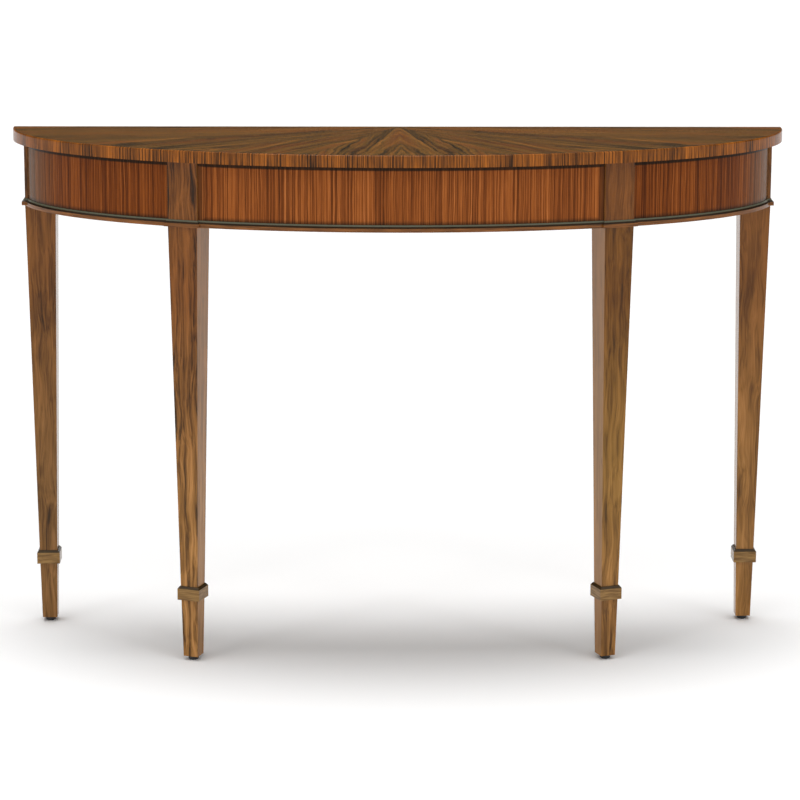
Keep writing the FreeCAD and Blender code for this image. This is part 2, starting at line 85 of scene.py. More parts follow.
# Places read from the frame.
top_low, top_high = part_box("top_edge_band")
bead_low, bead_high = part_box("bead_bay_centre")
post_low, post_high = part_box("bead_front_right_face")
back_leg_low, back_leg_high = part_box("leg_back_right")
APRON_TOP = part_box("apron_veneer_centre")[1].z
APRON_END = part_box("apron_veneer_right")[1]
BACK_BAND_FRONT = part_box("top_back_band")[0].y
COLLAR_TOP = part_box("collar_front_left")[1].z
SUNBURST_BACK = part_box("top_leaf_4")[1].y
LEAF_ANGLE = math.pi / sum(name.startswith("top_leaf") for name in nodes)
POST_HALF = (back_leg_high.x - back_leg_low.x) / 2
FRONT_POST = (post_low + post_high) / 2
BETWEEN_LEGS = (FRONT_POST.x + back_leg_low.x) / 2

# The table's oval. A point turned by some angle from the middle of the front lies OVAL_MEAN times the
# angle along the curve, and OVAL_SWELL times the sine of twice the angle.
OVAL_HALF_WIDTH = top_high.x
OVAL_HALF_DEPTH = top_high.y - top_low.y
OVAL_BACK = top_high.y
OVAL_MEAN = (OVAL_HALF_WIDTH + OVAL_HALF_DEPTH) / 2
OVAL_SWELL = (OVAL_HALF_WIDTH - OVAL_HALF_DEPTH) / 4

# Specular levels of the satin lacquer, lower than those of bare varnish, and of dry wood.
TOP_SHEEN = 0.2
EDGE_SHEEN = 0.17
APRON_SHEEN = 0.08
LEG_SHEEN = 0.22
MOULDING_SHEEN = 0.25
DRY_SHEEN = 0.25
BOARD_SHEEN = 0.2

# How far the sharp edges of the legs are rubbed round.
EASED_EDGE = 0.5 * MM


def linear(hex_colour):
    """A shader colour from an sRGB hex value."""
    parts = [int(hex_colour[i:i + 2], 16) / 255 for i in (0, 2, 4)]
    return [c / 12.92 if c <= 0.04045 else ((c + 0.055) / 1.055) ** 2.4 for c in parts] + [1.0]


def add(tree, kind, inputs=None, stops=None, **settings):
    """One shader node with its settings, its input values or links, and a ramp's stops."""
    node = tree.nodes.new("ShaderNode" + kind)
    for name, value in settings.items():
        setattr(node, name, value)
    for key, value in (inputs or {}).items():
        if isinstance(value, bpy.types.Node):
            value = value.outputs[0]
        if isinstance(value, bpy.types.NodeSocket):
            tree.links.new(value, node.inputs[key])
        else:
            node.inputs[key].default_value = value
    for index, (place, colour) in enumerate(stops or []):
        points = node.color_ramp.elements
        point = points[index] if index < 2 else points.new(place)
        point.position = place
        point.color = linear(colour)
    return node


def start_material(name):
    """An empty node material."""
    made = bpy.data.materials.new(name)
    made.use_nodes = True
    made.node_tree.nodes.clear()
    return made, made.node_tree


def finish_material(tree, colour, roughness, bump, bump_depth, **constants):
    """The shader of a material from its patterns, with plain numbers on the shader's own sockets."""
    raised = add(tree, "Bump", {"Height": bump, "Distance": bump_depth, "Strength": 1.0})
    shader = add(tree, "BsdfPrincipled", {
        "Base Color": colour, "Roughness": roughness, "Normal": raised})
    for socket, value in constants.items():
        shader.inputs[socket.replace("_", " ")].default_value = value
    add(tree, "OutputMaterial", {"Surface": shader})


def oval_run(tree):
    """Distance along the table's curve from the middle of the front, and the height."""
    point = add(tree, "TexCoord").outputs["Object"]
    moved = add(tree, "Mapping", {"Vector": point, "Location": (0, -OVAL_BACK, 0)})
    axes = add(tree, "SeparateXYZ", {"Vector": moved})
    wide = add(tree, "Math", {0: axes.outputs["X"], 1: OVAL_HALF_WIDTH}, operation="DIVIDE")
    deep = add(tree, "Math", {0: axes.outputs["Y"], 1: -OVAL_HALF_DEPTH}, operation="DIVIDE")
    turn = add(tree, "Math", {0: wide, 1: deep}, operation="ARCTAN2")
    even = add(tree, "Math", {0: turn, 1: OVAL_MEAN}, operation="MULTIPLY")
    twice = add(tree, "Math", {0: turn, 1: 2.0}, operation="MULTIPLY")
    wave = add(tree, "Math", {0: twice}, operation="SINE")
    run = add(tree, "Math", {0: wave, 1: OVAL_SWELL, 2: even}, operation="MULTIPLY_ADD")
    return run, axes.outputs["Z"]


def oval_length(x, y):
    """The same distance along the curve for one point of the plan."""
    turn = math.atan2(x / OVAL_HALF_WIDTH, (OVAL_BACK - y) / OVAL_HALF_DEPTH)
    return OVAL_MEAN * turn + OVAL_SWELL * math.sin(2 * turn)


def grain(tree, across, along, width, length, seed=0.0, detail=4.0, roughness=0.6):
    """Noise drawn out along the grain: features so wide across it and so long along it."""
    first = add(tree, "Math", {0: across, 1: 1 / width}, operation="MULTIPLY")
    second = add(tree, "Math", {0: along, 1: 1 / length}, operation="MULTIPLY")
    spot = add(tree, "CombineXYZ", {"X": first, "Y": second, "Z": seed})
    return add(tree, "TexNoise", {
        "Vector": spot, "Scale": 1.0, "Detail": detail, "Roughness": roughness}).outputs["Fac"]


def sunburst_veneer():
    """Open-pored rosewood-like veneer in book-matched leaves under satin lacquer: straight figure
    along the middle of each leaf, mirrored at every seam, with dark heart streaks and warm patches."""
    made, tree = start_material("lacquered_sunburst_veneer")
    point = add(tree, "TexCoord").outputs["Object"]
    moved = add(tree, "Mapping", {"Vector": point, "Location": (0, -SUNBURST_BACK, 0)})
    axes = add(tree, "SeparateXYZ", {"Vector": moved})
    ahead = add(tree, "Math", {0: axes.outputs["Y"], 1: -1.0}, operation="MULTIPLY")
    turn = add(tree, "Math", {0: axes.outputs["X"], 1: ahead}, operation="ARCTAN2")
    swing = add(tree, "Math", {0: turn}, operation="ABSOLUTE")
    fold = add(tree, "Math", {0: swing, 1: LEAF_ANGLE}, operation="PINGPONG")
    off_middle = add(tree, "Math", {0: fold, 1: LEAF_ANGLE / 2}, operation="SUBTRACT")
    flat = add(tree, "VectorMath", {0: moved, 1: (1, 1, 0)}, operation="MULTIPLY")
    reach = add(tree, "VectorMath", {0: flat}, operation="LENGTH").outputs["Value"]
    sine = add(tree, "Math", {0: off_middle}, operation="SINE")
    cosine = add(tree, "Math", {0: off_middle}, operation="COSINE")
    across = add(tree, "Math", {0: reach, 1: sine}, operation="MULTIPLY")
    along = add(tree, "Math", {0: reach, 1: cosine}, operation="MULTIPLY")
    # Each leaf and its mirrored twin draw their figure from noise far from the others' noise.
    noise_step = 3.7
    leaf = add(tree, "Math", {0: swing, 1: LEAF_ANGLE}, operation="DIVIDE")
    leaf = add(tree, "Math", {0: leaf}, operation="FLOOR")
    seed = add(tree, "Math", {0: leaf, 1: noise_step}, operation="MULTIPLY")

    # The figure sways along the leaf, as the rings of a sawn log do.
    sway_reach, ring_spacing = 34 * MM, 11 * MM
    sway = grain(tree, across, along, width=45 * MM, length=170 * MM, seed=seed, detail=2.0)
    sway = add(tree, "Math", {0: sway, 1: NOISE_MIDDLE}, operation="SUBTRACT")
    across = add(tree, "Math", {0: sway, 1: sway_reach, 2: across}, operation="MULTIPLY_ADD")
    rings = add(tree, "Math", {0: across, 1: 1 / ring_spacing}, operation="MULTIPLY")
    rings = add(tree, "Math", {0: rings}, operation="FRACT")
    late = add(tree, "MapRange", {"Value": rings, "From Min": 0.6, "From Max": 0.95})
    figure = grain(
        tree, across, along, width=5.5 * MM, length=380 * MM, seed=seed, detail=5.0, roughness=0.65)
    # Pores are drawn 3 mm wide, coarser than life, so that they show at this distance.
    pores = grain(
        tree, across, along, width=3 * MM, length=110 * MM, seed=seed, detail=3.0, roughness=0.7)
    patches = grain(tree, across, along, width=24 * MM, length=260 * MM, seed=seed, detail=3.0)
    bands = grain(tree, across, along, width=14 * MM, length=500 * MM, seed=seed, detail=2.0)
    # The tone is a sum of shares of these patterns.
    tone = add(tree, "Math", {0: pores, 1: 0.3, 2: -0.13}, operation="MULTIPLY_ADD")
    tone = add(tree, "Math", {0: bands, 1: 0.65, 2: tone}, operation="MULTIPLY_ADD")
    tone = add(tree, "Math", {0: figure, 1: 0.42, 2: tone}, operation="MULTIPLY_ADD")
    tone = add(tree, "Math", {0: late.outputs[0], 1: -0.12, 2: tone}, operation="MULTIPLY_ADD")
    wood = add(tree, "ValToRGB", {"Fac": tone}, stops=[
        (0.35, "241a08"), (0.68, "aa6e2a"), (0.43, "523a16"), (0.51, "714f1e"), (0.59, "8a5e24")])
    warm = add(tree, "MapRange", {"Value": patches, "From Min": 0.48, "From Max": 0.64, "To Max": 0.65})
    colour = add(tree, "MixRGB", {
        "Fac": warm.outputs[0], "Color1": wood.outputs["Color"], "Color2": linear("8c4e18")})

    # Dark flames in the heartwood: degrees from the middle of the table, half width in degrees and
    # strength. They are ragged, come and go along the leaf and die out towards the sunburst's point.
    flames = ((12.5, 2.6, 0.7), (46.5, 2.6, 0.7), (61.5, 2.4, 0.75))
    raggedness = math.radians(15)
    jitter = grain(tree, across, along, width=26 * MM, length=70 * MM, seed=9.1, detail=4.0)
    jitter = add(tree, "Math", {0: jitter, 1: NOISE_MIDDLE}, operation="SUBTRACT")
    ragged = add(tree, "Math", {0: jitter, 1: raggedness, 2: swing}, operation="MULTIPLY_ADD")
    come_and_go = grain(tree, across, along, width=30 * MM, length=90 * MM, seed=4.3, detail=2.0)
    come_and_go = add(tree, "MapRange", {"Value": come_and_go, "From Min": 0.38, "From Max": 0.6})
    start = add(tree, "MapRange", {"Value": reach, "From Min": 70 * MM, "From Max": 170 * MM})
    showing = add(tree, "Math", {0: come_and_go.outputs[0], 1: start.outputs[0]}, operation="MULTIPLY")
    for angle, half_width, strength in flames:
        off = add(tree, "Math", {0: ragged, 1: math.radians(angle)}, operation="SUBTRACT")
        off = add(tree, "Math", {0: off}, operation="ABSOLUTE")
        streak = add(tree, "MapRange", {
            "Value": off, "From Min": math.radians(half_width), "From Max": 0.0, "To Max": strength},
            interpolation_type="SMOOTHSTEP")
        streak = add(tree, "Math", {0: streak.outputs[0], 1: showing}, operation="MULTIPLY")
        colour = add(tree, "MixRGB", {"Fac": streak, "Color1": colour, "Color2": linear("2a2010")})
    gloss = add(tree, "MapRange", {"Value": pores, "To Min": 0.07, "To Max": 0.14})
    finish_material(tree, colour, gloss.outputs[0], pores, 0.008 * MM, Specular_IOR_Level=TOP_SHEEN)
    return made


def edge_veneer():
    """The same veneer with its grain upright round the edge: short ribbons of orange and dark. On the
    straight back, where the curve's distance stands still, the ribbons follow the table's width."""
    made, tree = start_material("lacquered_crossband_veneer")
    run, height = oval_run(tree)
    axes = add(tree, "SeparateXYZ", {"Vector": add(tree, "TexCoord").outputs["Object"]})
    straight = add(tree, "Math", {0: axes.outputs["Y"], 1: BACK_BAND_FRONT}, operation="GREATER_THAN")
    run = add(tree, "Math", {0: straight, 1: axes.outputs["X"], 2: run}, operation="MULTIPLY_ADD")
    # Ribbons and pores are drawn 2.6 mm wide, coarser than life, so that they show at this distance.
    ribbons = grain(
        tree, run, height, width=2.6 * MM, length=120 * MM, seed=2.0, detail=4.0, roughness=0.66)
    pieces = grain(tree, run, height, width=38 * MM, length=400 * MM, seed=4.0, detail=2.0)
    pores = grain(tree, run, height, width=2.6 * MM, length=30 * MM, seed=6.0, detail=2.0)
    tone = add(tree, "Math", {0: pieces, 1: 0.4, 2: -0.2}, operation="MULTIPLY_ADD")
    tone = add(tree, "Math", {0: ribbons, 1: 1.0, 2: tone}, operation="MULTIPLY_ADD")
    colour = add(tree, "ValToRGB", {"Fac": tone}, stops=[
        (0.34, "281806"), (0.70, "be6e22"), (0.44, "5c3410"), (0.52, "864c16"), (0.60, "a25c1a")])
    gloss = add(tree, "MapRange", {"Value": pores, "To Min": 0.2, "To Max": 0.3})
    finish_material(
        tree, colour.outputs["Color"], gloss.outputs[0], pores, 0.05 * MM,
        Specular_IOR_Level=EDGE_SHEEN)
    return made


def striped_veneer():
    """Quarter-cut striped veneer with upright grain: fine ribbons from near black to orange, a painted
    shadow along the top under the overhang, and darker bands above the bead and beside the posts."""
    made, tree = start_material("lacquered_striped_veneer")
    run, height = oval_run(tree)
    sway_reach = 5 * MM
    sway = grain(tree, run, height, width=25 * MM, length=120 * MM, seed=1.0, detail=2.0)
    sway = add(tree, "Math", {0: sway, 1: NOISE_MIDDLE}, operation="SUBTRACT")
    across = add(tree, "Math", {0: sway, 1: sway_reach, 2: run}, operation="MULTIPLY_ADD")
    # Stripes and pores are drawn about 2 mm wide, coarser than life, so that they show.
    stripes = grain(tree, across, height, width=1.9 * MM, length=600 * MM, seed=3.0, detail=2.0)
    groups = grain(tree, across, height, width=22 * MM, length=900 * MM, seed=5.0, detail=3.0)
    pores = grain(tree, across, height, width=2.2 * MM, length=50 * MM, seed=7.0, detail=2.0)
    tone = add(tree, "Math", {0: groups, 1: 0.3, 2: -0.15}, operation="MULTIPLY_ADD")
    tone = add(tree, "Math", {0: stripes, 1: 1.0, 2: tone}, operation="MULTIPLY_ADD")
    tone = add(tree, "Math", {0: pores, 1: 0.2, 2: tone}, operation="MULTIPLY_ADD")
    wood = add(tree, "ValToRGB", {"Fac": tone}, stops=[
        (0.36, "421e08"), (0.88, "c4763e"), (0.50, "6c3712"), (0.60, "88481c"), (0.70, "a45c26")])
    # The side bays are a shade darker than the middle one.
    post_place = oval_length(FRONT_POST.x, FRONT_POST.y)
    spread = add(tree, "Math", {0: run}, operation="ABSOLUTE")
    past_post = add(tree, "Math", {0: spread, 1: post_place}, operation="SUBTRACT")
    bay = add(tree, "MapRange", {"Value": past_post, "From Min": -MM, "From Max": MM, "To Max": 0.9})
    wood = add(tree, "MixRGB", {
        "Fac": bay.outputs[0], "Color1": wood.outputs["Color"], "Color2": linear("d8ccac")},
        blend_type="MULTIPLY")
    # Painted reflection: an olive cast towards the table's ends, where the apron turns away.
    end_place = oval_length(APRON_END.x, APRON_END.y)
    olive_start, olive_full = end_place - 140 * MM, end_place - 10 * MM
    painted_end_reflection = add(tree, "MapRange", {
        "Value": spread, "From Min": olive_start, "From Max": olive_full, "To Max": 0.5},
        interpolation_type="SMOOTHSTEP")
    wood = add(tree, "MixRGB", {"Fac": painted_end_reflection.outputs[0], "Color1": wood, "Color2": linear("54421a")})
    # Darker above the bead and beside the front posts; painted shadow under the top's overhang.
    bead_fade, post_fade = bead_high.z + 8 * MM, POST_HALF + 11 * MM
    line_start, line_full = APRON_TOP - 9.5 * MM, APRON_TOP - 7 * MM
    low = add(tree, "MapRange", {
        "Value": height, "From Min": bead_high.z, "From Max": bead_fade, "To Min": 0.7, "To Max": 0.0},
        interpolation_type="SMOOTHSTEP")
    # The painted shadow along the apron's top, under the overhang of the top.
    high = add(tree, "MapRange", {
        "Value": height, "From Min": line_start, "From Max": line_full, "To Min": 0.0, "To Max": 0.9},
        interpolation_type="SMOOTHSTEP")
    beside = add(tree, "Math", {0: past_post}, operation="ABSOLUTE")
    side = add(tree, "MapRange", {
        "Value": beside, "From Min": POST_HALF, "From Max": post_fade, "To Min": 0.65, "To Max": 0.0},
        interpolation_type="SMOOTHSTEP")
    tint_and_painted_light = add(tree, "Math", {0: low.outputs[0], 1: side.outputs[0]}, operation="MAXIMUM")
    tint_and_painted_light = add(tree, "Math", {0: high.outputs[0], 1: tint_and_painted_light}, operation="MAXIMUM")
    colour = add(tree, "MixRGB", {"Fac": tint_and_painted_light, "Color1": wood, "Color2": linear("1c160a")})
    gloss = add(tree, "MapRange", {"Value": pores, "To Min": 0.2, "To Max": 0.32})
    finish_material(tree, colour, gloss.outputs[0], pores, 0.03 * MM, Specular_IOR_Level=APRON_SHEEN)
    return made


def leg_wood():
    """Walnut-stained solid hardwood under satin lacquer: long upright streaks that wander a little,
    livelier on the front legs, a colour that darkens towards the posts, and painted light on the inner
    sides."""
    made, tree = start_material("stained_walnut_legs")
    point = add(tree, "TexCoord").outputs["Object"]
    axes = add(tree, "SeparateXYZ", {"Vector": point})
    # Each pattern is so many times taller than wide, and the streaks and pores sway from side to side.
    # The pores are drawn 2.4 mm wide, coarser than life, so that they show at this distance.
    streak_width, cloud_width, pore_width = 9 * MM, 26 * MM, 2.4 * MM
    sway_width, sway_reach = 30 * MM, 16 * MM
    sway_stretch, streak_stretch, cloud_stretch = 3, 40, 6
    wave = add(tree, "Mapping", {"Vector": point, "Scale": (1, 1, 1 / sway_stretch)})
    sway = add(tree, "TexNoise", {"Vector": wave, "Scale": 1 / sway_width, "Detail": 1.0})
    drawn_out = add(tree, "Mapping", {"Vector": point, "Scale": (1, 1, 1 / streak_stretch)})
    pushed = add(tree, "VectorMath", {
        0: sway.outputs["Color"], 1: (sway_reach, sway_reach, 0), 2: drawn_out},
        operation="MULTIPLY_ADD")
    streaks = add(tree, "TexNoise", {
        "Vector": pushed, "Scale": 1 / streak_width, "Detail": 5.0, "Roughness": 0.68}).outputs["Fac"]
    pores = add(tree, "TexNoise", {
        "Vector": pushed, "Scale": 1 / pore_width, "Detail": 2.0}).outputs["Fac"]
    tall = add(tree, "Mapping", {"Vector": point, "Scale": (1, 1, 1 / cloud_stretch)})
    clouds = add(tree, "TexNoise", {
        "Vector": tall, "Scale": 1 / cloud_width, "Detail": 2.0}).outputs["Fac"]
    # The front left leg has the liveliest figure, the back legs the plainest.
    far = add(tree, "Math", {0: axes.outputs["X"]}, operation="ABSOLUTE")
    back = add(tree, "Math", {0: far, 1: BETWEEN_LEGS}, operation="GREATER_THAN")
    right = add(tree, "Math", {0: axes.outputs["X"], 1: 0.0}, operation="GREATER_THAN")
    lively = add(tree, "MapRange", {"Value": back, "To Min": 1.0, "To Max": 0.5})
    livelier = add(tree, "MapRange", {"Value": right, "To Min": 1.25, "To Max": 0.6})
    lively = add(tree, "Math", {0: lively.outputs[0], 1: livelier.outputs[0]}, operation="MULTIPLY")
    streaks = add(tree, "Math", {0: streaks, 1: NOISE_MIDDLE}, operation="SUBTRACT")
    tone = add(tree, "Math", {0: streaks, 1: lively, 2: NOISE_MIDDLE}, operation="MULTIPLY_ADD")
    tone = add(tree, "Math", {0: clouds, 1: 0.35, 2: tone}, operation="MULTIPLY_ADD")
    tone = add(tree, "Math", {0: pores, 1: 0.32, 2: tone}, operation="MULTIPLY_ADD")
    wood = add(tree, "ValToRGB", {"Fac": tone}, stops=[
        (0.66, "3e2b10"), (1.0, "bc864c"), (0.75, "704a20"), (0.84, "986a34")])
    # The legs darken upwards, a little less on the back legs.
    darken_start, darken_full = 250 * MM, 600 * MM
    deep = add(tree, "MapRange", {
        "Value": axes.outputs["Z"], "From Min": darken_start, "From Max": darken_full})
    paler = add(tree, "MapRange", {"Value": back, "To Min": 1.0, "To Max": 0.8})
    deep = add(tree, "Math", {0: deep.outputs[0], 1: paler.outputs[0]}, operation="MULTIPLY")
    colour = add(tree, "MixRGB", {
        "Fac": deep, "Color1": wood.outputs["Color"], "Color2": linear("c4a884")},
        blend_type="MULTIPLY")
    # The front right leg is cut from a board with an olive cast between its post and its foot.
    olive_start, olive_full = 100 * MM, 350 * MM
    olive = add(tree, "Math", {
        0: axes.outputs["X"], 1: FRONT_POST.x, 2: 2 * POST_HALF}, operation="COMPARE")
    below = add(tree, "Math", {0: axes.outputs["Z"], 1: bead_low.z}, operation="LESS_THAN")
    above = add(tree, "MapRange", {
        "Value": axes.outputs["Z"], "From Min": olive_start, "From Max": olive_full})
    olive = add(tree, "Math", {0: olive, 1: below}, operation="MULTIPLY")
    olive = add(tree, "Math", {0: olive, 1: above.outputs[0]}, operation="MULTIPLY")
    colour = add(tree, "MixRGB", {"Fac": olive, "Color1": colour, "Color2": linear("f2ffea")},
        blend_type="MULTIPLY")
    # The back left leg is cut from a board that darkens towards its foot.
    dark_full, dark_start = 250 * MM, 650 * MM
    board = add(tree, "Math", {0: axes.outputs["X"], 1: -BETWEEN_LEGS}, operation="LESS_THAN")
    foot = add(tree, "MapRange", {
        "Value": axes.outputs["Z"], "From Min": dark_full, "From Max": dark_start,
        "To Min": 1.0, "To Max": 0.0})
    darker = add(tree, "Math", {0: board, 1: foot.outputs[0]}, operation="MULTIPLY")
    colour = add(tree, "MixRGB", {"Fac": darker, "Color1": colour, "Color2": linear("d4d4d8")},
        blend_type="MULTIPLY")
    # Painted light: the inner sides, turned to the middle of the table, are painted a paler, plainer
    # tan, as side light shows them. A side is an inner one where its normal points far enough inwards.
    inner_start, inner_full = -0.6, -0.8
    facing = add(tree, "SeparateXYZ", {"Vector": add(tree, "TexCoord").outputs["Normal"]})
    half = add(tree, "Math", {0: axes.outputs["X"]}, operation="SIGN")
    outward = add(tree, "Math", {0: facing.outputs["X"], 1: half}, operation="MULTIPLY")
    painted_side_light = add(tree, "MapRange", {
        "Value": outward, "From Min": inner_start, "From Max": inner_full, "To Max": 0.5})
    colour = add(tree, "MixRGB", {
        "Fac": painted_side_light.outputs[0], "Color1": colour, "Color2": linear("a87844")})
    gloss = add(tree, "MapRange", {"Value": pores, "To Min": 0.14, "To Max": 0.22})
    finish_material(tree, colour, gloss.outputs[0], pores, 0.015 * MM, Specular_IOR_Level=LEG_SHEEN)
    return made


def moulding_with_glazing_and_painted_light(name, bright, dark, glazing_and_painted_light, along_oval):
    """Stained moulding: fine grain along its length, drawn coarser than life so that it shows, and
    bands of colour by height: on the collars finisher's glazing on the slope, on the bead painted shade
    and a painted highlight in the hollow. Each band has the heights where it starts and is full, its
    strength and its colour."""
    made, tree = start_material(name)
    if along_oval:
        run, height = oval_run(tree)
        lines = grain(tree, height, run, width=2.5 * MM, length=60 * MM, seed=2.0, detail=3.0)
    else:
        axes = add(tree, "SeparateXYZ", {"Vector": add(tree, "TexCoord").outputs["Object"]})
        run = add(tree, "Math", {0: axes.outputs["X"], 1: axes.outputs["Y"]}, operation="ADD")
        height = axes.outputs["Z"]
        lines = grain(tree, height, run, width=3 * MM, length=30 * MM, seed=2.0, detail=3.0)
    wood = add(tree, "ValToRGB", {"Fac": lines}, stops=[(0.36, dark), (0.64, bright)])
    colour = wood.outputs["Color"]
    # On the bead these bands are painted shade and a painted highlight; on the collars, glazing.
    for start, full, strength, tint_and_painted_light in glazing_and_painted_light:
        slope = add(tree, "MapRange", {
            "Value": height, "From Min": start, "From Max": full, "To Max": strength},
            interpolation_type="SMOOTHSTEP")
        colour = add(tree, "MixRGB", {
            "Fac": slope.outputs[0], "Color1": colour, "Color2": linear(tint_and_painted_light)}).outputs["Color"]
    gloss = add(tree, "MapRange", {"Value": lines, "To Min": 0.18, "To Max": 0.28})
    finish_material(tree, colour, gloss.outputs[0], lines, 0.04 * MM, Specular_IOR_Level=MOULDING_SHEEN)
    return made


def plain_wood(name, dark, bright, width, length, axis, roughness):
    """Inner wood, planed and left bare: dry and dull, with its grain along one axis."""
    made, tree = start_material(name)
    axes = add(tree, "SeparateXYZ", {"Vector": add(tree, "TexCoord").outputs["Object"]})
    first, second = [axes.outputs[letter] for letter in "XYZ" if letter != axis]
    across = add(tree, "Math", {0: first, 1: second}, operation="ADD")
    lines = grain(tree, across, axes.outputs[axis], width, length, seed=1.0, detail=5.0, roughness=0.65)
    colour = add(tree, "ValToRGB", {"Fac": lines}, stops=[(0.35, dark), (0.66, bright)])
    uneven = 0.08
    dull = add(tree, "MapRange", {
        "Value": lines, "To Min": roughness - uneven, "To Max": roughness + uneven})
    finish_material(
        tree, colour.outputs["Color"], dull.outputs[0], lines, 0.15 * MM, Specular_IOR_Level=DRY_SHEEN)
    return made


def bent_lamination():
    """Thin plies glued round a form: pale sawn faces with a dark glue line every few millimetres."""
    made, tree = start_material("bent_ply_lamination")
    run, height = oval_run(tree)
    point = add(tree, "TexCoord").outputs["Object"]
    moved = add(tree, "Mapping", {"Vector": point, "Location": (0, -OVAL_BACK, 0)})
    ratio = OVAL_HALF_WIDTH / OVAL_HALF_DEPTH
    rounded = add(tree, "VectorMath", {0: moved, 1: (1, ratio, 0)}, operation="MULTIPLY")
    depth = add(tree, "VectorMath", {0: rounded}, operation="LENGTH").outputs["Value"]
    glue_spacing, glue_half_width = 8 * MM, 0.4 * MM
    ply = add(tree, "Math", {0: depth, 1: glue_spacing / 2}, operation="PINGPONG")
    line = add(tree, "MapRange", {
        "Value": ply, "From Min": 0.0, "From Max": glue_half_width, "To Min": 0.6, "To Max": 0.0})
    # The glue lines come out on the sawn edges above and below, not on the bent faces.
    facing = add(tree, "SeparateXYZ", {"Vector": add(tree, "TexCoord").outputs["Normal"]})
    sawn = add(tree, "Math", {0: facing.outputs["Z"]}, operation="ABSOLUTE")
    line = add(tree, "Math", {0: line.outputs[0], 1: sawn}, operation="MULTIPLY")
    lines = grain(tree, height, run, width=5 * MM, length=180 * MM, seed=1.0, detail=5.0)
    wood = add(tree, "ValToRGB", {"Fac": lines}, stops=[(0.35, "9c7b54"), (0.66, "c2a077")])
    colour = add(tree, "MixRGB", {
        "Fac": line, "Color1": wood.outputs["Color"], "Color2": linear("5e4428")})
    dull = add(tree, "MapRange", {"Value": lines, "To Min": 0.6, "To Max": 0.75})
    finish_material(tree, colour, dull.outputs[0], lines, 0.15 * MM, Specular_IOR_Level=DRY_SHEEN)
    return made


def pressed_board():
    """Pressed fibre board of the core: brown-grey, with a fleck of fibres a few millimetres across."""
    made, tree = start_material("pressed_fibre_board")
    point = add(tree, "TexCoord").outputs["Object"]
    fleck_size = 3 * MM
    fleck = add(tree, "TexNoise", {
        "Vector": point, "Scale": 1 / fleck_size, "Detail": 3.0}).outputs["Fac"]
    colour = add(tree, "ValToRGB", {"Fac": fleck}, stops=[(0.35, "84684a"), (0.66, "a98a66")])
    dull = add(tree, "MapRange", {"Value": fleck, "To Min": 0.7, "To Max": 0.85})
    finish_material(
        tree, colour.outputs["Color"], dull.outputs[0], fleck, 0.1 * MM, Specular_IOR_Level=BOARD_SHEEN)
    return made


def zinc_steel():
    """Zinc-plated steel of the wood screws: bright metal with cloudy plating."""
    made, tree = start_material("zinc_plated_steel")
    point = add(tree, "TexCoord").outputs["Object"]
    cloud_size = 2 * MM
    clouds = add(tree, "TexNoise", {
        "Vector": point, "Scale": 1 / cloud_size, "Detail": 3.0}).outputs["Fac"]
    colour = add(tree, "ValToRGB", {"Fac": clouds}, stops=[(0.3, "9d9a8c"), (0.7, "c9c6ba")])
    dull = add(tree, "MapRange", {"Value": clouds, "To Min": 0.28, "To Max": 0.42})
    finish_material(tree, colour.outputs["Color"], dull.outputs[0], clouds, 0.02 * MM, Metallic=1.0)
    return made


def black_nylon():
    """Moulded black nylon of the glides: nearly black, soft sheen, and a fine spark-eroded texture that
    is drawn coarser than life so that it shows."""
    made, tree = start_material("moulded_black_nylon")
    point = add(tree, "TexCoord").outputs["Object"]
    spark_size = 0.8 * MM
    skin = add(tree, "TexNoise", {
        "Vector": point, "Scale": 1 / spark_size, "Detail": 2.0}).outputs["Fac"]
    colour = add(tree, "ValToRGB", {"Fac": skin}, stops=[(0.35, "101112"), (0.65, "1c1d1f")])
    dull = add(tree, "MapRange", {"Value": skin, "To Min": 0.4, "To Max": 0.55})
    finish_material(tree, colour.outputs["Color"], dull.outputs[0], skin, 0.03 * MM, IOR=1.53)
    return made


def ease_edges(node_name, width):
    """A copy of a CAD piece with its sharp edges rubbed round, shown in that piece's place."""
    merge_distance = 0.01 * MM
    flat, smooth, sharp = math.radians(0.2), math.radians(35), math.radians(40)
    source = nodes[node_name]
    bpy.ops.object.select_all(action="DESELECT")
    source.select_set(True)
    bpy.context.view_layer.objects.active = source
    bpy.ops.object.duplicate()
    piece = bpy.context.view_layer.objects.active
    piece.name = node_name + "_eased"
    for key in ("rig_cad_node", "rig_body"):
        del piece[key]
    piece.parent = None
    bpy.ops.object.mode_set(mode="EDIT")
    bpy.ops.mesh.select_all(action="SELECT")
    bpy.ops.mesh.customdata_custom_splitnormals_clear()
    bpy.ops.mesh.remove_doubles(threshold=merge_distance)
    bpy.ops.mesh.dissolve_limited(angle_limit=flat)
    bpy.ops.object.mode_set(mode="OBJECT")
    bpy.ops.object.shade_smooth_by_angle(angle=smooth)
    bevel = piece.modifiers.new("eased", "BEVEL")
    bevel.width = width
    bevel.segments = 2
    bevel.limit_method = "ANGLE"
    bevel.angle_limit = sharp
    bevel.harden_normals = True
    bpy.ops.object.modifier_apply(modifier=bevel.name)
    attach(piece, "root")
    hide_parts(node_name)
    return piece


def dress(piece, made):
    """Give a piece one material."""
    piece.data.materials.clear()
    piece.data.materials.append(made)


